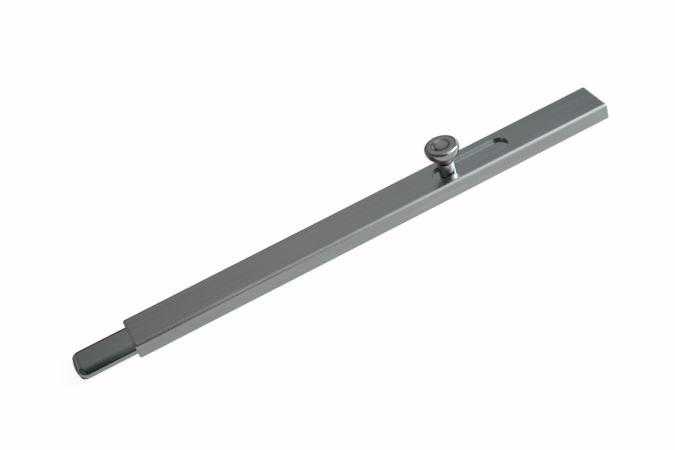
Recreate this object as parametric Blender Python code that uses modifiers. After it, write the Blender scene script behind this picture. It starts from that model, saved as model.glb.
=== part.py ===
"""Surface-mounted slide bolt (cane bolt): a flat bar that slides in a slotted channel housing.

Metres, +Z up. The back face that goes against the door leaf lies at Z = 0. X runs along the bolt,
with the nose at -X. The origin is the centre of the housing's back face.
"""
import math

import bmesh
import bpy
from mathutils import Vector

MM = 0.001
GAP = 0.3 * MM                      # clearance between neighbouring pieces
OVERRUN = 1.0 * MM                  # how far a cutter passes the face that it cuts
COLLECTION = "slide_bolt"

# Housing: a channel, open at the back, at the nose end and at the tail end
HOUSING_LENGTH = 305 * MM
HOUSING_WIDTH = 26 * MM
HOUSING_HEIGHT = 9.8 * MM
HOUSING_EDGE_R = 2.4 * MM
HOUSING_END_R = 1.0 * MM
SIDE_WALL = 1.7 * MM
TOP_WALL = 1.5 * MM
NOSE_END = -HOUSING_LENGTH / 2
TAIL_END = HOUSING_LENGTH / 2
INNER_HALF_WIDTH = HOUSING_WIDTH / 2 - SIDE_WALL
CEILING = HOUSING_HEIGHT - TOP_WALL

# Back plate with tongues that run in the housing's grooves, and an upturned tab at its tail end
PLATE_THICKNESS = 1.6 * MM
TONGUE_REACH = 0.8 * MM
TONGUE_THICKNESS = 0.7 * MM
GROOVE_DEPTH = 0.8 * MM
TAB_HEIGHT = 6.9 * MM
TAB_WIDTH = 12 * MM
TAB_SETBACK = 0.4 * MM
PLATE_START = NOSE_END + 1.0 * MM
PLATE_END = TAIL_END - 7.0 * MM
MOUNT_HOLE_R = 2.3 * MM
MOUNT_HEAD_R = 4.1 * MM
MOUNT_LAND = 0.1 * MM                # straight stretch of a mounting hole, below its cone
MOUNT_HOLE_X = [-130 * MM, -45 * MM, 45 * MM, 125 * MM]

# Bolt bar: flat top, round shoulders, flat sole, and a rounded nose
BAR_HALF_WIDTH = INNER_HALF_WIDTH - GAP
BAR_TOP = CEILING - GAP
BAR_SOLE = PLATE_THICKNESS + GAP
BAR_SHOULDER_R = 5.4 * MM
BAR_SOLE_R = 0.5 * MM
BAR_PROJECTION = 34.5 * MM
BAR_NOSE = NOSE_END - BAR_PROJECTION
BAR_TAIL = NOSE_END + 254 * MM
NOSE_LENGTH = 4.0 * MM
NOSE_INSET = 3.4 * MM
NOSE_BOW_R = 30 * MM               # radius of the nose as seen from above

# Slot in the housing's top, and the knob that runs in it
KNOB_X = NOSE_END + 204.2 * MM
SLOT_HALF_WIDTH = 6.45 * MM
SLOT_START = NOSE_END + 194.4 * MM
SLOT_END = NOSE_END + 244.1 * MM

SLEEVE_R = 5.3 * MM
SLEEVE_HEIGHT = 8.2 * MM
SLEEVE_CHAMFER = 0.35 * MM
SLEEVE_BASE = BAR_TOP + GAP
SLEEVE_TOP = SLEEVE_BASE + SLEEVE_HEIGHT
KNOB_BASE = SLEEVE_TOP + GAP
KNOB_BORE_DEPTH = 6.0 * MM

# Knob screw: M4 countersunk, from the bar's sole up into the knob
SCREW_R = 2.0 * MM
SCREW_HEAD_R = 3.8 * MM
SCREW_HOLE_R = SCREW_R + GAP
SCREW_END = KNOB_BASE + KNOB_BORE_DEPTH - 1.0 * MM
KNOB_HEX = 2.5 * MM
PLUG_HEX = 2.0 * MM
HEX_DEPTH = 1.1 * MM
SCREW_POINT = 0.5 * MM              # chamfer at a screw's end
HEAD_RECESS = 0.1 * MM              # how far a countersunk head sits below its face

# Friction spring in a pocket in the bar's sole, with its rivet
POCKET_START = BAR_NOSE + 100 * MM
POCKET_LENGTH = 42 * MM
POCKET_WIDTH = 10 * MM
POCKET_DEPTH = 2.5 * MM
SPRING_WIDTH = 8 * MM
SPRING_THICKNESS = 0.4 * MM
SPRING_TOP = BAR_SOLE + POCKET_DEPTH - GAP
SPRING_LENGTH = 37 * MM
SPRING_START = POCKET_START + 2.5 * MM
SPRING_FLAT = 8 * MM
SPRING_LOW = PLATE_THICKNESS + 0.15 * MM
RIVET_X = SPRING_START + SPRING_FLAT / 2
RIVET_R = 1.3 * MM
RIVET_HEAD_R = 2.3 * MM
RIVET_HEAD_HEIGHT = 0.8 * MM
RIVET_DEPTH = 2.2 * MM

# End plug, held to the plate's tab by a countersunk screw
PLUG_START = PLATE_END + GAP
PLUG_SCREW_Z = 4.5 * MM
PLUG_SCREW_R = 1.4 * MM
PLUG_SCREW_HEAD_R = 2.8 * MM
PLUG_SCREW_LENGTH = 9.6 * MM

ROUND_STEPS = 48
MERGE = 0.01 * MM


def new_material(name, colour, roughness):
    """A metal Principled material."""
    material = bpy.data.materials.new(name)
    material.use_nodes = True
    shader = material.node_tree.nodes["Principled BSDF"]
    shader.inputs["Base Color"].default_value = (*colour, 1.0)
    shader.inputs["Roughness"].default_value = roughness
    shader.inputs["Metallic"].default_value = 1.0
    return material


def arc(centre, radius, start, end, steps):
    """Points of an arc in a plane, from start to end degrees."""
    angles = [math.radians(start + (end - start) * i / steps) for i in range(steps + 1)]
    return [(centre[0] + radius * math.cos(a), centre[1] + radius * math.sin(a)) for a in angles]


def prism(name, outline, length, location, rotation, collection):
    """A flat outline, extruded by length about its plane, as a closed mesh."""
    curve = bpy.data.curves.new(name + "_outline", "CURVE")
    curve.dimensions = "2D"
    curve.fill_mode = "BOTH"
    curve.extrude = length / 2
    spline = curve.splines.new("POLY")
    spline.points.add(len(outline) - 1)
    for point, (x, y) in zip(spline.points, outline):
        point.co = (x, y, 0, 1)
    spline.use_cyclic_u = True
    flat = bpy.data.objects.new(name + "_outline", curve)
    collection.objects.link(flat)
    flat.location = location
    flat.rotation_euler = rotation
    bpy.context.view_layer.update()
    mesh = bpy.data.meshes.new_from_object(flat.evaluated_get(bpy.context.evaluated_depsgraph_get()))
    mesh.name = name
    bm = bmesh.new()
    bm.from_mesh(mesh)
    bmesh.ops.remove_doubles(bm, verts=bm.verts, dist=MERGE)
    bmesh.ops.dissolve_limit(bm, angle_limit=math.radians(0.5), verts=bm.verts, edges=bm.edges)
    bmesh.ops.recalc_face_normals(bm, faces=bm.faces)
    bm.to_mesh(mesh)
    bm.free()
    obj = bpy.data.objects.new(name, mesh)
    obj.matrix_world = flat.matrix_world.copy()
    collection.objects.link(obj)
    bpy.data.objects.remove(flat)
    return obj


ALONG_X = (math.pi / 2, 0, math.pi / 2)     # outline in Y and Z, extruded along X
ALONG_Y = (math.pi / 2, 0, 0)               # outline in X and Z, extruded along Y
ALONG_Z = (0, 0, 0)                         # outline in X and Y, extruded along Z


def block(name, low, high, collection):
    """A box between two corners."""
    bm = bmesh.new()
    bmesh.ops.create_cube(bm, size=1.0)
    low, high = Vector(low), Vector(high)
    bmesh.ops.scale(bm, vec=high - low, verts=bm.verts)
    mesh = bpy.data.meshes.new(name)
    bm.to_mesh(mesh)
    bm.free()
    obj = bpy.data.objects.new(name, mesh)
    obj.location = (low + high) / 2
    collection.objects.link(obj)
    return obj


def turned(name, profile, location, collection, rotation=(0, 0, 0)):
    """A profile of (radius, height) points, turned about its own Z axis."""
    mesh = bpy.data.meshes.new(name)
    count = len(profile)
    closed = profile[0][0] > 0
    edges = [(i, i + 1) for i in range(count - 1)] + ([(count - 1, 0)] if closed else [])
    mesh.from_pydata([(r, 0, z) for r, z in profile], edges, [])
    obj = bpy.data.objects.new(name, mesh)
    collection.objects.link(obj)
    obj.location = location
    obj.rotation_euler = rotation
    screw = obj.modifiers.new("Turn", "SCREW")
    screw.axis = "Z"
    screw.steps = ROUND_STEPS
    screw.render_steps = ROUND_STEPS
    screw.use_merge_vertices = True
    screw.merge_threshold = MERGE
    return obj


def cut(obj, cutter, name="Cut"):
    """Subtract cutter from obj."""
    boolean = obj.modifiers.new(name, "BOOLEAN")
    boolean.operation = "DIFFERENCE"
    boolean.solver = "EXACT"
    boolean.object = cutter
    cutter.hide_render = True
    cutter.display_type = "WIRE"


def shade_round(obj, angle=35):
    """Smooth shading, with sharp edges kept above angle degrees."""
    mesh = obj.data
    if len(mesh.polygons):
        mesh.shade_smooth()
        mesh.set_sharp_from_angle(angle=math.radians(angle))


def centred(start, end):
    return (start + end) / 2


def tunnel_outline(clearance):
    """Section of the round-shouldered bar, grown by clearance, from its shoulders' feet upward."""
    half = BAR_HALF_WIDTH + clearance
    radius = BAR_SHOULDER_R + clearance
    top = BAR_TOP + clearance
    right = arc((half - radius, top - radius), radius, 0, 90, 8)
    left = arc((radius - half, top - radius), radius, 90, 180, 8)
    return right + left


def make_housing(parts, cutters):
    """Channel with round edges: the bar's tunnel, the plate's grooves and the knob's slot cut out."""
    low = (NOSE_END, -HOUSING_WIDTH / 2, 0)
    high = (TAIL_END, HOUSING_WIDTH / 2, HOUSING_HEIGHT)
    housing = block("housing", low, high, parts)
    bm = bmesh.new()
    bm.from_mesh(housing.data)
    weight = bm.edges.layers.float.new("bevel_weight_edge")
    for edge in bm.edges:
        start, end = (vert.co for vert in edge.verts)
        if start.z > 0 or end.z > 0:
            lengthwise = start.x * end.x < 0
            edge[weight] = 1.0 if lengthwise else HOUSING_END_R / HOUSING_EDGE_R
    bm.to_mesh(housing.data)
    bm.free()
    bevel = housing.modifiers.new("Round edges", "BEVEL")
    bevel.limit_method = "WEIGHT"
    bevel.width = HOUSING_EDGE_R
    bevel.segments = 4

    groove_low = PLATE_THICKNESS - TONGUE_THICKNESS - GAP
    groove_high = PLATE_THICKNESS + GAP
    groove_out = INNER_HALF_WIDTH + GROOVE_DEPTH
    foot = [(INNER_HALF_WIDTH, -OVERRUN), (INNER_HALF_WIDTH, groove_low), (groove_out, groove_low),
            (groove_out, groove_high), (INNER_HALF_WIDTH, groove_high)]
    outline = foot + tunnel_outline(GAP) + [(-y, z) for y, z in reversed(foot)]
    tunnel = prism("tunnel_cutter", outline, HOUSING_LENGTH + 2 * OVERRUN,
                   (0, 0, 0), ALONG_X, cutters)
    cut(housing, tunnel, "Tunnel")

    slot_outline = (arc((SLOT_END - SLOT_HALF_WIDTH, 0), SLOT_HALF_WIDTH, -90, 90, 24)
                    + arc((SLOT_START + SLOT_HALF_WIDTH, 0), SLOT_HALF_WIDTH, 90, 270, 24))
    slot_z = centred(CEILING, HOUSING_HEIGHT)
    slot = prism("slot_cutter", slot_outline, TOP_WALL + 2 * OVERRUN, (0, 0, slot_z), ALONG_Z, cutters)
    cut(housing, slot, "Slot")
    return housing


def make_back_plate(parts, cutters):
    """Flat strip with side tongues and an upturned tab, and four countersunk mounting holes."""
    body = INNER_HALF_WIDTH - GAP
    tongue = body + TONGUE_REACH
    tongue_z = PLATE_THICKNESS - TONGUE_THICKNESS
    plate = block("back_plate", (PLATE_START, -tongue, 0), (PLATE_END, tongue, PLATE_THICKNESS), parts)
    for side, name in ((-1, "far"), (1, "near")):
        inner, outer = sorted((side * body, side * (tongue + OVERRUN)))
        rebate = block(f"rebate_cutter_{name}", (PLATE_START - OVERRUN, inner, -OVERRUN),
                       (PLATE_END + OVERRUN, outer, tongue_z), cutters)
        cut(plate, rebate, "Rebate")

    tab_end = PLATE_END - TAB_SETBACK
    tab = block("tab", (tab_end - PLATE_THICKNESS, -TAB_WIDTH / 2, PLATE_THICKNESS / 2),
                (tab_end, TAB_WIDTH / 2, TAB_HEIGHT), cutters)
    tab.hide_render = True
    tab.display_type = "WIRE"
    union = plate.modifiers.new("Tab", "BOOLEAN")
    union.operation = "UNION"
    union.solver = "EXACT"
    union.object = tab

    above = PLATE_THICKNESS + OVERRUN
    mount_hole = [(0, above), (MOUNT_HEAD_R, above), (MOUNT_HEAD_R, PLATE_THICKNESS),
                  (MOUNT_HOLE_R, MOUNT_LAND), (MOUNT_HOLE_R, -OVERRUN), (0, -OVERRUN)]
    for index, x in enumerate(MOUNT_HOLE_X, start=1):
        drill = turned(f"mount_hole_cutter_{index}", mount_hole, (x, 0, 0), cutters)
        cut(plate, drill, "Mounting hole")

    reach = TAB_SETBACK + PLATE_THICKNESS + OVERRUN
    thread = PLUG_SCREW_R + GAP / 2
    hole = [(0, OVERRUN), (thread, OVERRUN), (thread, -reach), (0, -reach)]
    cut(plate, turned("tab_hole_cutter", hole, (PLATE_END, 0, PLUG_SCREW_Z), cutters,
                      rotation=(0, math.pi / 2, 0)), "Tab hole")
    return plate


def make_end_plug(parts, cutters):
    """Plug that closes the housing's tail end, countersunk for its screw."""
    outline = [(BAR_HALF_WIDTH, 0)] + tunnel_outline(0) + [(-BAR_HALF_WIDTH, 0)]
    plug = prism("end_plug", outline, TAIL_END - PLUG_START,
                 (centred(PLUG_START, TAIL_END), 0, 0), ALONG_X, parts)
    shank = PLUG_SCREW_R + GAP
    mouth = PLUG_SCREW_HEAD_R + GAP
    sink = mouth - shank
    depth = TAIL_END - PLUG_START + OVERRUN
    profile = [(0, OVERRUN), (mouth, OVERRUN), (mouth, 0), (shank, -sink), (shank, -depth), (0, -depth)]
    cut(plug, turned("plug_hole_cutter", profile, (TAIL_END, 0, PLUG_SCREW_Z), cutters,
                     rotation=(0, math.pi / 2, 0)), "Screw hole")
    return plug


def hex_socket(name, across_flats, depth, location, rotation, cutters):
    """Hexagonal prism for a screw's socket; its outer half stands clear of the head."""
    corners = arc((0, 0), across_flats / math.sqrt(3), 0, 300, 5)
    return prism(name, corners, 2 * depth, location, rotation, cutters)


def make_end_plug_screw(parts, cutters):
    """Countersunk socket screw through the end plug into the plate's tab."""
    head = PLUG_SCREW_HEAD_R
    shank = PLUG_SCREW_R - GAP / 2
    sink = head - shank
    profile = [(0, 0), (head, 0), (shank, -sink), (shank, -PLUG_SCREW_LENGTH + SCREW_POINT),
               (shank - SCREW_POINT, -PLUG_SCREW_LENGTH), (0, -PLUG_SCREW_LENGTH)]
    screw = turned("end_plug_screw", profile, (TAIL_END - HEAD_RECESS, 0, PLUG_SCREW_Z), parts,
                   rotation=(0, math.pi / 2, 0))
    cut(screw, hex_socket("plug_hex_cutter", PLUG_HEX, HEX_DEPTH, (TAIL_END, 0, PLUG_SCREW_Z),
                          ALONG_X, cutters), "Socket")
    return screw


def bar_ring(inset):
    """Section of the bar drawn in by inset, as points in Y and Z."""
    half = BAR_HALF_WIDTH - inset
    top = BAR_TOP - inset
    sole = BAR_SOLE + inset * 0.4
    shoulder = BAR_SHOULDER_R - inset * 1.4
    corner = BAR_SOLE_R
    foot = BAR_HALF_WIDTH - inset * 0.4 - corner
    ring = arc((foot, sole + corner), corner, -90, 0, 3)
    ring += arc((half - shoulder, top - shoulder), shoulder, 0, 90, 9)
    return ring + [(-y, z) for y, z in reversed(ring)]


def make_bolt_bar(parts, cutters):
    """Round-shouldered bar, lofted into a bowed nose, cut for the knob screw and the spring."""
    end_ring = bar_ring(NOSE_INSET)
    nose_z = centred(min(z for _, z in end_ring), max(z for _, z in end_ring))
    sections = [(BAR_NOSE, [(y * s, nose_z + (z - nose_z) * s) for y, z in end_ring])
                for s in (0.25, 0.5, 0.75)]
    nose_steps = 7
    for i in range(nose_steps + 1):
        angle = math.pi / 2 * i / nose_steps
        x = BAR_NOSE + NOSE_LENGTH * (1 - math.cos(angle))
        sections.append((x, bar_ring(NOSE_INSET * (1 - math.sin(angle)))))

    bm = bmesh.new()
    rings = [[bm.verts.new((x + y * y / (2 * NOSE_BOW_R), y, z)) for y, z in section]
             for x, section in sections]
    rings.append([bm.verts.new((BAR_TAIL, y, z)) for y, z in bar_ring(0)])
    tip = bm.verts.new((BAR_NOSE, 0, nose_z))
    for near, far in zip(rings, rings[1:]):
        for i, vert in enumerate(near):
            j = (i + 1) % len(near)
            bm.faces.new((vert, near[j], far[j], far[i]))
    for i, vert in enumerate(rings[0]):
        bm.faces.new((tip, vert, rings[0][(i + 1) % len(rings[0])]))
    bm.faces.new(rings[-1])
    bmesh.ops.recalc_face_normals(bm, faces=bm.faces)
    mesh = bpy.data.meshes.new("bolt_bar")
    bm.to_mesh(mesh)
    bm.free()
    bar = bpy.data.objects.new("bolt_bar", mesh)
    parts.objects.link(bar)

    mouth = SCREW_HEAD_R + GAP
    sink = mouth - SCREW_HOLE_R
    above = BAR_TOP + OVERRUN
    below = BAR_SOLE - OVERRUN
    profile = [(0, above), (SCREW_HOLE_R, above), (SCREW_HOLE_R, BAR_SOLE + sink), (mouth, BAR_SOLE),
               (mouth, below), (0, below)]
    cut(bar, turned("knob_screw_hole_cutter", profile, (KNOB_X, 0, 0), cutters), "Knob screw hole")

    pocket = block("pocket_cutter", (POCKET_START, -POCKET_WIDTH / 2, below),
                   (POCKET_START + POCKET_LENGTH, POCKET_WIDTH / 2, BAR_SOLE + POCKET_DEPTH), cutters)
    cut(bar, pocket, "Spring pocket")

    hole_top = BAR_SOLE + POCKET_DEPTH + RIVET_DEPTH
    rivet_hole = [(0, hole_top), (RIVET_R + GAP, hole_top), (RIVET_R + GAP, BAR_SOLE), (0, BAR_SOLE)]
    cut(bar, turned("rivet_hole_cutter", rivet_hole, (RIVET_X, 0, 0), cutters), "Rivet hole")
    return bar


def make_friction_spring(parts, cutters):
    """Bowed leaf that rubs on the back plate and holds the bolt where it is put."""
    thickness = SPRING_THICKNESS
    bow_length = SPRING_LENGTH - SPRING_FLAT
    drop = SPRING_TOP - thickness - SPRING_LOW
    bow_steps = 16
    upper = [(0.0, 0.0), (SPRING_FLAT, 0.0)]
    for i in range(1, bow_steps + 1):
        along = i / bow_steps
        upper.append((SPRING_FLAT + bow_length * along, -drop * math.sin(math.pi * 0.85 * along) ** 2))
    lower = [(x, z - thickness) for x, z in reversed(upper)]
    spring = prism("friction_spring", upper + lower, SPRING_WIDTH,
                   (SPRING_START, 0, SPRING_TOP), ALONG_Y, parts)
    hole = RIVET_R + GAP
    profile = [(0, OVERRUN), (hole, OVERRUN), (hole, -OVERRUN), (0, -OVERRUN)]
    cut(spring, turned("spring_hole_cutter", profile, (RIVET_X, 0, SPRING_TOP), cutters), "Rivet hole")
    return spring


def make_spring_rivet(parts):
    """Round-head rivet that holds the friction spring in its pocket."""
    head_top = SPRING_TOP - SPRING_THICKNESS - GAP
    head_base = head_top - RIVET_HEAD_HEIGHT
    shank_top = BAR_SOLE + POCKET_DEPTH + RIVET_DEPTH - GAP
    profile = [(0, shank_top), (RIVET_R, shank_top), (RIVET_R, head_top), (RIVET_HEAD_R, head_top)]
    profile += [(RIVET_HEAD_R * math.cos(a), head_top - RIVET_HEAD_HEIGHT * math.sin(a))
                for a in (math.radians(d) for d in (25, 50, 72))]
    profile.append((0, head_base))
    return turned("spring_rivet", profile, (RIVET_X, 0, 0), parts)


def make_knob_sleeve(parts):
    """Spacer sleeve that stands on the bar, passes through the slot and carries the knob."""
    bore = SCREW_HOLE_R
    outer = SLEEVE_R
    chamfer = SLEEVE_CHAMFER
    profile = [(bore, SLEEVE_TOP), (outer - chamfer, SLEEVE_TOP), (outer, SLEEVE_TOP - chamfer),
               (outer, SLEEVE_BASE + chamfer / 2), (outer - chamfer / 2, SLEEVE_BASE),
               (bore, SLEEVE_BASE)]
    return turned("knob_sleeve", profile, (KNOB_X, 0, 0), parts)


def make_knob(parts):
    """Mushroom knob with a dished top, a rounded rim, a waisted neck and a blind tapped bore."""
    heights = [  # radius and height above the knob's foot, from the dish down to the foot
        (0.0, 10.7), (2.2, 10.75), (3.9, 10.95), (5.0, 11.3), (5.8, 11.55), (6.8, 11.6), (8.0, 11.55),
        (9.0, 11.3), (9.65, 10.8), (10.0, 10.1), (10.1, 9.2), (10.0, 8.1), (9.65, 6.8), (9.05, 5.6),
        (8.25, 4.6), (7.4, 3.8), (6.6, 3.2), (6.1, 2.8), (5.85, 2.5), (5.8, 2.25), (5.5, 2.0),
        (4.4, 1.9), (3.8, 1.7), (3.7, 1.35), (3.7, 0.55), (4.4, 0.1), (4.6, 0.0)]
    profile = [(r * MM, KNOB_BASE + z * MM) for r, z in heights]
    profile += [(SCREW_HOLE_R, KNOB_BASE), (SCREW_HOLE_R, KNOB_BASE + KNOB_BORE_DEPTH),
                (0, KNOB_BASE + KNOB_BORE_DEPTH)]
    return turned("knob", profile, (KNOB_X, 0, 0), parts)


def make_knob_screw(parts, cutters):
    """Countersunk socket screw from the bar's sole, through the sleeve, into the knob."""
    sole = BAR_SOLE + HEAD_RECESS
    sink = SCREW_HEAD_R - SCREW_R
    profile = [(0, SCREW_END), (SCREW_R - SCREW_POINT, SCREW_END), (SCREW_R, SCREW_END - SCREW_POINT),
               (SCREW_R, sole + sink), (SCREW_HEAD_R, sole), (0, sole)]
    screw = turned("knob_screw", profile, (KNOB_X, 0, 0), parts)
    cut(screw, hex_socket("knob_hex_cutter", KNOB_HEX, HEX_DEPTH, (KNOB_X, 0, sole), ALONG_Z,
                          cutters), "Socket")
    return screw


def main():
    for obj in list(bpy.data.objects):
        bpy.data.objects.remove(obj)
    parts = bpy.data.collections.new(COLLECTION)
    cutters = bpy.data.collections.new("cutters")
    bpy.context.scene.collection.children.link(parts)
    bpy.context.scene.collection.children.link(cutters)

    satin = (0.46, 0.46, 0.45)
    polished = (0.55, 0.55, 0.55)
    spring_steel = (0.35, 0.36, 0.38)
    fixed = {
        make_housing(parts, cutters): (satin, 0.34),
        make_back_plate(parts, cutters): (satin, 0.45),
        make_end_plug(parts, cutters): (satin, 0.34),
        make_end_plug_screw(parts, cutters): (polished, 0.3),
    }
    moving = {
        make_bolt_bar(parts, cutters): (satin, 0.25),
        make_friction_spring(parts, cutters): (spring_steel, 0.4),
        make_spring_rivet(parts): (polished, 0.35),
        make_knob_sleeve(parts): (polished, 0.15),
        make_knob(parts): (polished, 0.15),
        make_knob_screw(parts, cutters): (polished, 0.3),
    }
    for obj, (colour, roughness) in {**fixed, **moving}.items():
        obj.data.materials.append(new_material(obj.name, colour, roughness))
        shade_round(obj)

    slide = bpy.data.objects.new("bolt_slide", None)
    slide.location = (KNOB_X, 0, centred(BAR_SOLE, BAR_TOP))
    parts.objects.link(slide)
    bpy.context.view_layer.update()
    for obj in moving:
        obj.parent = slide
        obj.matrix_parent_inverse = slide.matrix_world.inverted()


main()
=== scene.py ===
"""Surface-mounted slide bolt: the looks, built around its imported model. Metres, +Z up."""
import math

import bmesh
import bpy
from mathutils import Matrix, Vector


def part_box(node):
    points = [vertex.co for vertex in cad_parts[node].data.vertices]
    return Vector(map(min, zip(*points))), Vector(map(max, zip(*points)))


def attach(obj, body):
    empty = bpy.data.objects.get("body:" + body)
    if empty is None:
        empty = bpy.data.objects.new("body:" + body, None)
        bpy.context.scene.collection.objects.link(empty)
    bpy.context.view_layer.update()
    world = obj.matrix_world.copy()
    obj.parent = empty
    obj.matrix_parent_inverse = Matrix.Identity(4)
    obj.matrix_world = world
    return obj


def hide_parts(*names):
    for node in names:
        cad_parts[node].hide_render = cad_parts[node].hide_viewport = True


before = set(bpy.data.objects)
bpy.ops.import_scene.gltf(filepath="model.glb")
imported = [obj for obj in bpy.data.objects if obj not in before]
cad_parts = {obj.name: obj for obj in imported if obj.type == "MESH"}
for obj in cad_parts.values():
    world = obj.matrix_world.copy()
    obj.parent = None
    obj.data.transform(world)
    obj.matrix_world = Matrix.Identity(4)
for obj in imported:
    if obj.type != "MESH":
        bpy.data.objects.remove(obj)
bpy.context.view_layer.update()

MM = 0.001

# ---------------------------------------------------------------------------
# Driving dimensions: boxes read from the frame, and sizes inside them
# ---------------------------------------------------------------------------
HOUSING_LOW, HOUSING_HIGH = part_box("housing")
BAR_LOW, BAR_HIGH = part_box("bolt_bar")
SLEEVE_LOW, SLEEVE_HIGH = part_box("knob_sleeve")
KNOB_LOW, KNOB_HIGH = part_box("knob")
SPRING_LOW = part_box("friction_spring")[0]
RIVET_LOW, RIVET_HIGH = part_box("spring_rivet")
AXIS_X = (KNOB_LOW.x + KNOB_HIGH.x) / 2
RIVET_X = (RIVET_LOW.x + RIVET_HIGH.x) / 2
OVERRUN = 1.0 * MM

# Housing: a channel that slides over the plate's tongues
EDGE_R = 2.4 * MM
END_R = 1.5 * MM
SIDE_WALL = 1.7 * MM
PLATE_THICKNESS = 1.6 * MM
TONGUE_THICKNESS = 0.7 * MM
TONGUE_GAP = 0.3 * MM
GROOVE_DEPTH = 0.8 * MM
SLOT_HALF_WIDTH = 6.45 * MM
SLOT_START = HOUSING_LOW.x + 194.4 * MM
SLOT_END = HOUSING_LOW.x + 244.1 * MM
RIM_R = 0.15 * MM
WORN_WIDTH = 0.14 * MM
WORN_DEPTH = 1.0 * MM

# Bar: round shoulders over a flat sole, and a nose that is drawn in and bowed
SHOULDER_R = 5.4 * MM
SHOULDER_STEPS = 20
SOLE_R = 0.5 * MM
RUNNING_GAP = 0.08 * MM
NOSE_LENGTH = 4.0 * MM
NOSE_STEPS = 18
NOSE_INSET = 3.4 * MM
NOSE_BOW_R = 30 * MM
# The nose's inset, times these, is how far the sole rises and the shoulder's radius shrinks
SOLE_SHARE = 0.4
SHOULDER_SHARE = 1.4
# Rings that divide the nose's flat face, by their size in it
NOSE_FACE_SCALES = (0.02, 0.2, 0.4, 0.6, 0.8)
SCREW_HOLE_R = 2.3 * MM
SCREW_HEAD_R = 4.1 * MM
POCKET_START = SPRING_LOW.x - 2.5 * MM
POCKET_LENGTH = 42 * MM
POCKET_HALF_WIDTH = 5 * MM
POCKET_DEPTH = 2.5 * MM
RIVET_HOLE_R = 1.6 * MM
RIVET_HOLE_DEPTH = 4.7 * MM

# Sleeve and knob, turned about the knob screw
SLEEVE_TOP_R = 0.35 * MM
SLEEVE_FOOT_R = SLEEVE_TOP_R / 2
KNOB_BORE_DEPTH = 6.0 * MM
# Radius and height over the foot in millimetres: dish, rim, belly, bead and groove
KNOB_PROFILE = [
    (0.0, 10.7), (2.2, 10.75), (3.9, 10.95), (5.0, 11.3), (5.8, 11.55), (6.8, 11.6), (8.0, 11.55),
    (9.0, 11.3), (9.65, 10.8), (10.0, 10.1), (10.1, 9.2), (10.0, 8.1), (9.65, 6.8), (9.05, 5.6),
    (8.25, 4.6), (7.4, 3.8), (6.6, 3.2), (6.1, 2.8), (5.85, 2.5), (5.8, 2.25), (5.5, 2.0),
    (4.4, 1.9), (3.8, 1.7), (3.7, 1.35), (3.7, 0.55), (4.4, 0.1), (4.6, 0.0)]


# ---------------------------------------------------------------------------
# Mesh tools
# ---------------------------------------------------------------------------
def arc(cx, cy, radius, start, end, steps):
    """Points of an arc from start to end degrees."""
    angles = [math.radians(start + (end - start) * i / steps) for i in range(steps + 1)]
    return [(cx + radius * math.cos(a), cy + radius * math.sin(a)) for a in angles]


def smooth_path(points, steps):
    """A Catmull-Rom curve through points, with steps pieces to each span."""
    padded = [points[0], *points, points[-1]]
    path = []
    for p0, p1, p2, p3 in zip(padded, padded[1:], padded[2:], padded[3:]):
        for i in range(steps):
            t = i / steps
            path.append(tuple(
                0.5 * (2 * b + (c - a) * t + (2 * a - 5 * b + 4 * c - d) * t * t
                       + (3 * b - a - 3 * c + d) * t ** 3)
                for a, b, c, d in zip(p0, p1, p2, p3)))
    path.append(points[-1])
    return path


def add_object(name, bm):
    """A new object from a bmesh, with its faces pointing out."""
    bmesh.ops.recalc_face_normals(bm, faces=bm.faces)
    mesh = bpy.data.meshes.new(name)
    bm.to_mesh(mesh)
    bm.free()
    obj = bpy.data.objects.new(name, mesh)
    bpy.context.scene.collection.objects.link(obj)
    return obj


def lofted(name, rings):
    """A closed form through rings of points, capped at both ends."""
    bm = bmesh.new()
    loops = [[bm.verts.new(p) for p in ring] for ring in rings]
    for near, far in zip(loops, loops[1:]):
        count = len(near)
        for i in range(count):
            j = (i + 1) % count
            bm.faces.new((near[i], near[j], far[j], far[i]))
    bm.faces.new(loops[0])
    bm.faces.new(loops[-1])
    return add_object(name, bm)


def prism_x(name, outline, x_from, x_to):
    """An outline of (y, z) points, carried along X."""
    return lofted(name, [[(x, y, z) for y, z in outline] for x in (x_from, x_to)])


def prism_z(name, outline, z_from, z_to):
    """An outline of (x, y) points, carried along Z."""
    return lofted(name, [[(x, y, z) for x, y in outline] for z in (z_from, z_to)])


def turned(name, profile, axis_x, steps):
    """A profile of (radius, z) points turned about the upright axis at axis_x.

    A profile that starts and ends on the axis is closed there; any other is joined end to end.
    """
    bm = bmesh.new()
    turns = [2 * math.pi * i / steps for i in range(steps)]
    rings = []
    for radius, z in profile:
        angles = turns if radius > 0 else [0]
        rings.append([bm.verts.new((axis_x + radius * math.cos(a), radius * math.sin(a), z))
                      for a in angles])
    pairs = list(zip(rings, rings[1:]))
    if len(rings[0]) > 1:
        pairs.append((rings[-1], rings[0]))
    for upper, lower in pairs:
        for i in range(steps):
            j = (i + 1) % steps
            if len(upper) == 1:
                bm.faces.new((upper[0], lower[i], lower[j]))
            elif len(lower) == 1:
                bm.faces.new((upper[j], upper[i], lower[0]))
            else:
                bm.faces.new((upper[j], upper[i], lower[i], lower[j]))
    return add_object(name, bm)


def settle(obj):
    """Apply the modifiers of obj to its mesh."""
    bpy.context.view_layer.update()
    graph = bpy.context.evaluated_depsgraph_get()
    mesh = bpy.data.meshes.new_from_object(obj.evaluated_get(graph))
    obj.modifiers.clear()
    old = obj.data
    obj.data = mesh
    mesh.name = obj.name
    bpy.data.meshes.remove(old)


def cut(obj, *cutters):
    """Subtract the cutters, then remove them."""
    for cutter in cutters:
        boolean = obj.modifiers.new("Cut", "BOOLEAN")
        boolean.operation = "DIFFERENCE"
        boolean.solver = "EXACT"
        boolean.object = cutter
    settle(obj)
    for cutter in cutters:
        bpy.data.objects.remove(cutter)


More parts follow.
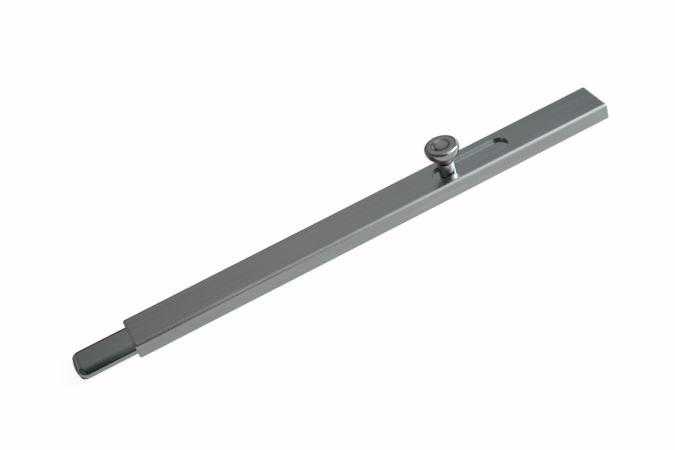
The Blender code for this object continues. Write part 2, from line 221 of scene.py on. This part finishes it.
def break_edges(obj, width, angle):
    """A small round on every edge sharper than angle degrees, as a modifier."""
    bevel = obj.modifiers.new("Broken edges", "BEVEL")
    bevel.width = width
    bevel.segments = 2
    bevel.limit_method = "ANGLE"
    bevel.angle_limit = math.radians(angle)


def weight_normals(obj):
    """Shade by the larger faces, and keep the sharp edges."""
    normals = obj.modifiers.new("Weighted normals", "WEIGHTED_NORMAL")
    normals.keep_sharp = True


def shade(obj, angle):
    """Smooth shading with weighted normals, sharp above angle degrees."""
    obj.data.shade_smooth()
    obj.data.set_sharp_from_angle(angle=math.radians(angle))
    weight_normals(obj)
    return obj


# ---------------------------------------------------------------------------
# Pieces
# ---------------------------------------------------------------------------
def bar_outline(clearance):
    """Top of the bar's section, grown by clearance, from its right side over to its left."""
    half = BAR_HIGH.y + clearance
    radius = SHOULDER_R + clearance
    top = BAR_HIGH.z + clearance
    right = arc(half - radius, top - radius, radius, 0, 90, SHOULDER_STEPS)
    left = arc(radius - half, top - radius, radius, 90, 180, SHOULDER_STEPS)
    return right + left


def rounded_block(name, low, high):
    """A box with its long top edges and its end edges rounded, and a sharp underside."""
    bm = bmesh.new()
    bmesh.ops.create_cube(bm, size=1.0)
    bmesh.ops.scale(bm, vec=high - low, verts=bm.verts)
    bmesh.ops.translate(bm, vec=(low + high) / 2, verts=bm.verts)
    weight = bm.edges.layers.float.new("bevel_weight_edge")
    for edge in bm.edges:
        start, end = (vert.co for vert in edge.verts)
        if max(start.z, end.z) > low.z + EDGE_R:
            lengthwise = abs(start.x - end.x) > EDGE_R
            edge[weight] = 1.0 if lengthwise else END_R / EDGE_R
    box = add_object(name, bm)
    bevel = box.modifiers.new("Round edges", "BEVEL")
    bevel.limit_method = "WEIGHT"
    bevel.width = EDGE_R
    bevel.segments = 10
    settle(box)
    return box


def mark_worn_edges(obj):
    """Store edge_wear on each face: 1 on the narrow faces near the top, which round the slot's rim."""
    mesh = obj.data
    lengths = [(mesh.vertices[a].co - mesh.vertices[b].co).length
               for a, b in (edge.vertices for edge in mesh.edges)]
    wear = mesh.attributes.new("edge_wear", "FLOAT", "FACE")
    for polygon in mesh.polygons:
        width = min(lengths[mesh.loops[i].edge_index] for i in polygon.loop_indices)
        near_top = polygon.center.z > HOUSING_HIGH.z - WORN_DEPTH
        wear.data[polygon.index].value = 1.0 if near_top and width < WORN_WIDTH else 0.0


def make_housing():
    """Channel with rounded edges, its tunnel and plate grooves, and a slot with a broken rim."""
    housing = rounded_block("housing_shell", HOUSING_LOW, HOUSING_HIGH)
    r = SLOT_HALF_WIDTH
    slot_outline = arc(SLOT_END - r, 0, r, -90, 90, 40) + arc(SLOT_START + r, 0, r, 90, 270, 40)
    slot = prism_z("slot", slot_outline, BAR_HIGH.z - OVERRUN, HOUSING_HIGH.z + OVERRUN)
    cut(housing, slot)
    break_edges(housing, RIM_R, 35)
    settle(housing)

    inner = HOUSING_HIGH.y - SIDE_WALL
    outer = inner + GROOVE_DEPTH
    groove_low = PLATE_THICKNESS - TONGUE_THICKNESS - TONGUE_GAP
    groove_high = PLATE_THICKNESS + TONGUE_GAP
    foot = [(inner, -OVERRUN), (inner, groove_low), (outer, groove_low), (outer, groove_high),
            (inner, groove_high)]
    outline = foot + bar_outline(RUNNING_GAP) + [(-y, z) for y, z in reversed(foot)]
    tunnel = prism_x("tunnel", outline, HOUSING_LOW.x - OVERRUN, HOUSING_HIGH.x + OVERRUN)
    cut(housing, tunnel)
    mark_worn_edges(housing)
    return shade(housing, 30)


def bar_section(inset):
    """Section of the bar drawn in by inset, as points in Y and Z. Its sole draws in less."""
    half = BAR_HIGH.y - inset
    top = BAR_HIGH.z - inset
    shoulder = SHOULDER_R - inset * SHOULDER_SHARE
    sole = BAR_LOW.z + inset * SOLE_SHARE
    foot = BAR_HIGH.y - inset * SOLE_SHARE - SOLE_R
    side = arc(foot, sole + SOLE_R, SOLE_R, -90, 0, 6)
    side += arc(half - shoulder, top - shoulder, shoulder, 0, 90, SHOULDER_STEPS)
    return side + [(-y, z) for y, z in reversed(side)]


def make_bar():
    """Round-shouldered bar with a bowed nose, its knob screw's hole and its spring's pocket."""
    face = bar_section(NOSE_INSET)
    face_z = (min(z for _, z in face) + max(z for _, z in face)) / 2
    sections = [(BAR_LOW.x, [(y * scale, face_z + (z - face_z) * scale) for y, z in face])
                for scale in NOSE_FACE_SCALES]
    for i in range(NOSE_STEPS + 1):
        a = math.pi / 2 * i / NOSE_STEPS
        sections.append((BAR_LOW.x + NOSE_LENGTH * (1 - math.cos(a)),
                         bar_section(NOSE_INSET * (1 - math.sin(a)))))
    rings = [[(x + y * y / (2 * NOSE_BOW_R), y, z) for y, z in section] for x, section in sections]
    rings.append([(BAR_HIGH.x, y, z) for y, z in bar_section(0)])
    bar = lofted("slide_bar", rings)

    sole = BAR_LOW.z
    sink = SCREW_HEAD_R - SCREW_HOLE_R
    screw_profile = [(0, BAR_HIGH.z + OVERRUN), (SCREW_HOLE_R, BAR_HIGH.z + OVERRUN),
                     (SCREW_HOLE_R, sole + sink), (SCREW_HEAD_R, sole),
                     (SCREW_HEAD_R, sole - OVERRUN), (0, sole - OVERRUN)]
    screw_hole = turned("screw_hole", screw_profile, AXIS_X, steps=64)
    end = POCKET_START + POCKET_LENGTH
    half = POCKET_HALF_WIDTH
    pocket = prism_z("pocket", [(POCKET_START, -half), (end, -half), (end, half), (POCKET_START, half)],
                     sole - OVERRUN, sole + POCKET_DEPTH)
    cut(bar, screw_hole, pocket)
    rivet_profile = [(0, sole + RIVET_HOLE_DEPTH), (RIVET_HOLE_R, sole + RIVET_HOLE_DEPTH),
                     (RIVET_HOLE_R, sole), (0, sole)]
    cut(bar, turned("rivet_hole", rivet_profile, RIVET_X, steps=48))
    return shade(bar, 40)


def make_sleeve():
    """Turned spacer sleeve with rounded edges."""
    outer = (SLEEVE_HIGH.x - SLEEVE_LOW.x) / 2
    profile = [(SCREW_HOLE_R, SLEEVE_HIGH.z)]
    profile += arc(outer - SLEEVE_TOP_R, SLEEVE_HIGH.z - SLEEVE_TOP_R, SLEEVE_TOP_R, 90, 0, 6)
    profile += arc(outer - SLEEVE_FOOT_R, SLEEVE_LOW.z + SLEEVE_FOOT_R, SLEEVE_FOOT_R, 0, -90, 3)
    profile += [(SCREW_HOLE_R, SLEEVE_LOW.z)]
    return shade(turned("turned_sleeve", profile, AXIS_X, steps=128), 50)


def make_knob():
    """Turned mushroom knob: dished top, rounded rim, waisted neck, bead and groove."""
    foot = KNOB_LOW.z
    profile = [(radius * MM, foot + height * MM) for radius, height in smooth_path(KNOB_PROFILE, 4)]
    profile += [(SCREW_HOLE_R, foot), (SCREW_HOLE_R, foot + KNOB_BORE_DEPTH), (0, foot + KNOB_BORE_DEPTH)]
    return shade(turned("turned_knob", profile, AXIS_X, steps=160), 50)


# ---------------------------------------------------------------------------
# Materials
# ---------------------------------------------------------------------------
STEEL = (0.53, 0.555, 0.55)
BAR_STEEL = (0.495, 0.54, 0.55)
SLEEVE_STEEL = (0.60, 0.61, 0.61)
KNOB_STEEL = (0.52, 0.53, 0.525)
DARK_STEEL = (0.42, 0.43, 0.42)
# The grain and the clouds, added up, run from about the first value to the second
MARKS_LOW = 0.7
MARKS_HIGH = 1.3
# What a worn edge adds to the colour's strength and to the roughness
WORN_BRIGHTER = 0.35
WORN_ROUGHER = -0.08
# Scratches, measured in cells of the grain
SCRATCH_SCALE = 0.12
SCRATCH_WIDTH = 0.03
SCRATCH_HEIGHT = -0.3
RELIEF = 0.1 * MM


class Nodes:
    """Short ways to add nodes to one tree and to join them."""

    def __init__(self, tree):
        self.tree = tree

    def feed(self, socket, value):
        """Link another node's output to a socket, or set a plain value on it."""
        if isinstance(value, bpy.types.NodeSocket):
            self.tree.links.new(value, socket)
        else:
            socket.default_value = value

    def add(self, kind, sockets=None, **settings):
        """A new node with its settings made and its sockets fed."""
        node = self.tree.nodes.new(kind)
        for key, value in settings.items():
            setattr(node, key, value)
        for key, value in (sockets or {}).items():
            self.feed(node.inputs[key], value)
        return node

    def math(self, operation, *values, **settings):
        """The result of a Math node."""
        node = self.add("ShaderNodeMath", dict(enumerate(values)), operation=operation, **settings)
        return node.outputs["Value"]

    def remap(self, value, low, high, to_low=0.0, to_high=1.0, **settings):
        """A value carried from the range low to high onto the range to_low to to_high."""
        sockets = {"Value": value, "From Min": low, "From Max": high, "To Min": to_low, "To Max": to_high}
        return self.add("ShaderNodeMapRange", sockets, **settings).outputs["Result"]

    def noise(self, place, cells, **sockets):
        """Noise with cells per metre along X, Y and Z, and its mapped place."""
        mapped = self.add("ShaderNodeMapping", {"Vector": place, "Scale": cells}).outputs["Vector"]
        values = {"Vector": mapped, "Scale": 1.0, **sockets}
        return self.add("ShaderNodeTexNoise", values).outputs["Fac"], mapped


def metal(name, colour, roughness, spread, tint, bump, grain, patch, anisotropic=0.0, tangent=None):
    """Satin metal: directional grain, cloudy handling marks, fine scratches and brighter worn edges.

    The roughness varies by spread and the colour by tint. grain and patch are the cells per metre
    along X, Y and Z of the fine grain and of the broad marks. The tangent is "X" for metal brushed
    lengthwise, "around" for turned metal, or None.
    """
    material = bpy.data.materials.new(name)
    material.use_nodes = True
    nodes = Nodes(material.node_tree)
    place = nodes.add("ShaderNodeTexCoord").outputs["Object"]
    lines, stretched = nodes.noise(place, grain, Detail=5.0, Roughness=0.7)
    clouds, _ = nodes.noise(place, patch, Detail=4.0)
    marks = nodes.math("ADD", lines, clouds)
    worn = nodes.add("ShaderNodeAttribute", attribute_name="edge_wear").outputs["Fac"]
    worn = nodes.math("MULTIPLY", worn, clouds)

    tone = nodes.remap(marks, MARKS_LOW, MARKS_HIGH, 1 - tint, 1 + tint)
    tone = nodes.math("MULTIPLY_ADD", worn, WORN_BRIGHTER, tone)
    shown = nodes.add("ShaderNodeVectorMath", {0: colour, "Scale": tone}, operation="SCALE")
    handled = nodes.remap(marks, MARKS_LOW, MARKS_HIGH, roughness - spread, roughness + spread)
    handled = nodes.math("MULTIPLY_ADD", worn, WORN_ROUGHER, handled, use_clamp=True)

    cells = nodes.add("ShaderNodeTexVoronoi", {"Vector": stretched, "Scale": SCRATCH_SCALE},
                      feature="DISTANCE_TO_EDGE")
    scratches = nodes.remap(cells.outputs["Distance"], 0.0, SCRATCH_WIDTH, SCRATCH_HEIGHT, 0.0)
    height = nodes.math("ADD", lines, scratches)
    relief = nodes.add("ShaderNodeBump", {"Height": height, "Strength": bump, "Distance": RELIEF})

    shader = material.node_tree.nodes["Principled BSDF"]
    nodes.feed(shader.inputs["Metallic"], 1.0)
    nodes.feed(shader.inputs["Anisotropic"], anisotropic)
    nodes.feed(shader.inputs["Base Color"], shown.outputs["Vector"])
    nodes.feed(shader.inputs["Roughness"], handled)
    nodes.feed(shader.inputs["Normal"], relief.outputs["Normal"])
    if tangent == "X":
        lengthwise = nodes.add("ShaderNodeCombineXYZ", {"X": 1.0})
        nodes.feed(shader.inputs["Tangent"], lengthwise.outputs["Vector"])
    elif tangent == "around":
        ring = nodes.add("ShaderNodeTangent", direction_type="RADIAL", axis="Z")
        nodes.feed(shader.inputs["Tangent"], ring.outputs["Tangent"])
    return material


housing_metal = metal("brushed_housing", STEEL, roughness=0.24, spread=0.05, tint=0.11, bump=0.08,
                      grain=(12, 2600, 2600), patch=(14, 210, 210), anisotropic=0.5, tangent="X")
bar_metal = metal("satin_bar", BAR_STEEL, roughness=0.12, spread=0.03, tint=0.08, bump=0.04,
                  grain=(14, 2000, 2000), patch=(20, 200, 200), anisotropic=0.3, tangent="X")
sleeve_metal = metal("turned_sleeve_metal", SLEEVE_STEEL, roughness=0.23, spread=0.04, tint=0.06, bump=0.05,
                     grain=(300, 300, 2500), patch=(90, 90, 300), anisotropic=0.3, tangent="around")
knob_metal = metal("satin_knob", KNOB_STEEL, roughness=0.21, spread=0.05, tint=0.10, bump=0.05,
                   grain=(300, 300, 1500), patch=(160, 160, 160), anisotropic=0.3, tangent="around")
plate_metal = metal("rolled_plate", STEEL, roughness=0.34, spread=0.06, tint=0.14, bump=0.10,
                    grain=(40, 900, 900), patch=(60, 60, 60))
plug_metal = metal("cast_plug", STEEL, roughness=0.30, spread=0.06, tint=0.12, bump=0.12,
                   grain=(900, 900, 900), patch=(120, 120, 120))
screw_metal = metal("screw_steel", DARK_STEEL, roughness=0.27, spread=0.06, tint=0.14, bump=0.10,
                    grain=(1500, 1500, 1500), patch=(250, 250, 250))
spring_metal = metal("spring_steel", DARK_STEEL, roughness=0.22, spread=0.05, tint=0.14, bump=0.06,
                     grain=(30, 1500, 1500), patch=(80, 80, 80))


# ---------------------------------------------------------------------------
# Pieces in their places
# ---------------------------------------------------------------------------
def coat(obj, material):
    """Give obj this one material."""
    obj.data.materials.clear()
    obj.data.materials.append(material)


# Pieces with a finer surface than their CAD nodes
FITTED = (
    (make_housing, "case", "housing", housing_metal, "housing_metal"),
    (make_bar, "bolt", "bolt_bar", bar_metal, "bar_metal"),
    (make_sleeve, "bolt", "knob_sleeve", sleeve_metal, "knob_metal"),
    (make_knob, "bolt", "knob", knob_metal, "knob_metal"),
)
for make, body, node, material, slot_name in FITTED:
    piece = make()
    coat(piece, material)
    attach(piece, body)
    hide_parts(node)

# CAD nodes that stay, with the width of their broken edges in millimetres
KEPT = (
    ("back_plate", plate_metal, 0.12),
    ("end_plug", plug_metal, 0.2),
    ("end_plug_screw", screw_metal, 0.08),
    ("knob_screw", screw_metal, 0.08),
    ("friction_spring", spring_metal, 0.05),
    ("spring_rivet", screw_metal, 0.06),
)
for node, material, edge_width in KEPT:
    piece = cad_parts[node]
    coat(piece, material)
    break_edges(piece, edge_width * MM, 40)
    weight_normals(piece)


# ---------------------------------------------------------------------------
# Stage: floor, studio light and camera
# ---------------------------------------------------------------------------
FLOOR_RADIUS = 4.0
FLOOR_DROP = 0.02 * MM
FLOOR_PAINT = (0.12, 0.12, 0.12, 1)
FLOOR_TINT = (1.0, 0.985, 1.0, 1)
# The floor's glow as the metal reflects it, at the housing's left and right ends
FRONT_GLOW = (0.41, 0.51)
BACK_GLOW = (0.01, 0.30)
# The floor and the backdrop as they are seen
FLOOR_WHITE = 0.93
BACKDROP_WHITE = 0.98

# Each light is a curve by the height angle over the bolt, from 0 at the back horizon over 90
# overhead to 180 at the front horizon, times a curve by the sideways part of the direction,
# from -1 at the left to 1 at the right.
ROOM = ([(0, 0.03), (14, 0.07), (26, 0.17), (38, 0.28), (60, 0.30), (80, 0.24), (98, 0.14),
         (128, 0.04), (158, 0.015), (180, 0.01)],
        [(-1.0, 0.04), (-0.4, 0.045), (-0.06, 0.145), (0.0, 0.20), (0.06, 0.225), (0.13, 0.27),
         (0.2, 0.25), (0.34, 0.24), (0.43, 0.14), (0.52, 0.03), (0.6, 0.06), (1.0, 0.1)])
HIGH_PANEL = ([(60, 0.0), (75, 0.35), (95, 0.9), (110, 1.0), (150, 1.0), (165, 0.5), (172, 0.0)],
              [(-0.03, 0.0), (0.0, 0.045), (0.06, 0.05), (0.134, 0.07), (0.193, 0.105),
               (0.337, 0.25), (0.42, 0.18), (0.5, 0.08), (1.0, 0.05)])
LOW_PANEL = ([(150, 0.0), (165, 0.5), (172, 1.0), (180, 1.0)],
             [(0.08, 0.0), (0.2, 0.08), (0.34, 0.22), (0.45, 0.15), (0.6, 0.04), (1.0, 0.04)])
STRIP = ([(80, 0.0), (96, 1.0), (136, 1.0), (152, 0.0), (180, 0.0)],
         [(0.42, 0.0), (0.52, 0.25), (0.62, 0.65), (0.75, 0.85), (1.0, 0.6)])
WALLS = ([(0, 1.0), (20, 1.0), (36, 0.5), (52, 0.12), (110, 0.2), (128, 0.45), (146, 0.4),
          (160, 0.2), (180, 0.25)],
         [(-1.0, 0.05), (-0.5, 0.05), (-0.12, 0.0), (0.54, 0.0), (0.62, 0.25), (1.0, 0.25)])
LIGHT_STRENGTH = 5.0
# The light is warm up to the first sideways direction and cool from the second
WARM_UNTIL = 0.12
COOL_FROM = 0.36
WARM_LIGHT = (1.0, 0.99, 0.98, 1)
COOL_LIGHT = (0.98, 1.0, 1.055, 1)

LENS = 68.76
SENSOR = 36.0
CAMERA_AT = Vector((-0.14086, -0.56462, 0.46229))
CAMERA_AIM = Vector((0.1641, 0.7701, -0.6165))
CAMERA_RIGHT = Vector((0.8789, -0.3978, -0.2630))


def make_floor():
    """Plain pale floor under the bolt, brighter in front of it than behind."""
    bm = bmesh.new()
    bmesh.ops.create_circle(bm, cap_ends=True, radius=FLOOR_RADIUS, segments=96)
    floor = add_object("floor", bm)
    floor.location.z = HOUSING_LOW.z - FLOOR_DROP
    material = bpy.data.materials.new("pale_floor")
    material.use_nodes = True
    tree = material.node_tree
    tree.nodes.remove(tree.nodes["Principled BSDF"])
    nodes = Nodes(tree)
    place = nodes.add("ShaderNodeTexCoord").outputs["Object"]
    split = nodes.add("ShaderNodeSeparateXYZ", {"Vector": place})
    front, back = (nodes.remap(split.outputs["X"], HOUSING_LOW.x, HOUSING_HIGH.x, left, right)
                   for left, right in (FRONT_GLOW, BACK_GLOW))
    reflected = nodes.remap(split.outputs["Y"], HOUSING_LOW.y, HOUSING_HIGH.y, front, back,
                            interpolation_type="SMOOTHSTEP")
    seen = nodes.add("ShaderNodeLightPath").outputs["Is Camera Ray"]
    strength = nodes.add("ShaderNodeMix", {"Factor": seen, "A": reflected, "B": FLOOR_WHITE})
    glow = nodes.add("ShaderNodeEmission", {"Color": FLOOR_TINT, "Strength": strength.outputs["Result"]})
    paint = nodes.add("ShaderNodeBsdfDiffuse", {"Color": FLOOR_PAINT})
    both = nodes.add("ShaderNodeAddShader", {0: paint.outputs[0], 1: glow.outputs[0]})
    nodes.feed(tree.nodes["Material Output"].inputs["Surface"], both.outputs[0])
    coat(floor, material)


def curve_of(nodes, source, stops, low, high):
    """The value that stops give at source, where both run from low to high."""
    ramp = nodes.add("ShaderNodeValToRGB", {"Fac": nodes.remap(source, low, high)})
    elements = ramp.color_ramp.elements
    while len(elements) < len(stops):
        elements.new(0.5)
    for element, (at, value) in zip(elements, stops):
        element.position = (at - low) / (high - low)
        element.color = (value, value, value, 1)
    return ramp.outputs["Color"]


def make_studio():
    """Soft studio light: a grey room behind, two panels in front, a strip at the right, dim walls."""
    world = bpy.data.worlds.new("studio")
    bpy.context.scene.world = world
    world.use_nodes = True
    tree = world.node_tree
    nodes = Nodes(tree)
    direction = nodes.add("ShaderNodeTexCoord").outputs["Generated"]
    split = nodes.add("ShaderNodeSeparateXYZ", {"Vector": direction})
    side = split.outputs["X"]
    angle = nodes.math("DEGREES", nodes.math("ARCTAN2", split.outputs["Z"], split.outputs["Y"]))
    total = 0.0
    for by_angle, by_side in (ROOM, HIGH_PANEL, LOW_PANEL, STRIP, WALLS):
        light = nodes.math("MULTIPLY", curve_of(nodes, angle, by_angle, 0, 180),
                           curve_of(nodes, side, by_side, -1, 1))
        total = nodes.math("ADD", total, light)
    tint = nodes.add("ShaderNodeMix", data_type="RGBA", sockets={
        "Factor": nodes.remap(side, WARM_UNTIL, COOL_FROM), "A": WARM_LIGHT, "B": COOL_LIGHT})
    studio = tree.nodes["Background"]
    nodes.feed(studio.inputs["Color"], tint.outputs["Result"])
    nodes.feed(studio.inputs["Strength"], nodes.math("MULTIPLY", total, LIGHT_STRENGTH))
    backdrop = nodes.add("ShaderNodeBackground", {"Color": (1, 1, 1, 1), "Strength": BACKDROP_WHITE})
    seen = nodes.add("ShaderNodeLightPath").outputs["Is Camera Ray"]
    both = nodes.add("ShaderNodeMixShader", {0: seen, 1: studio.outputs[0], 2: backdrop.outputs[0]})
    nodes.feed(tree.nodes["World Output"].inputs["Surface"], both.outputs[0])


def make_camera():
    """Camera above the near side, rolled so that the bolt rises to the right."""
    data = bpy.data.cameras.new("camera")
    camera = bpy.data.objects.new("camera", data)
    bpy.context.scene.collection.objects.link(camera)
    data.sensor_width = SENSOR
    data.lens = LENS
    data.clip_start = 0.01
    data.clip_end = 20.0
    aim = CAMERA_AIM.normalized()
    right = (CAMERA_RIGHT - aim * CAMERA_RIGHT.dot(aim)).normalized()
    turn = Matrix((right, right.cross(aim), -aim)).transposed()
    camera.matrix_world = Matrix.Translation(CAMERA_AT) @ turn.to_4x4()
    bpy.context.scene.camera = camera


make_floor()
make_studio()
make_camera()
bpy.context.scene.view_settings.view_transform = "Standard"
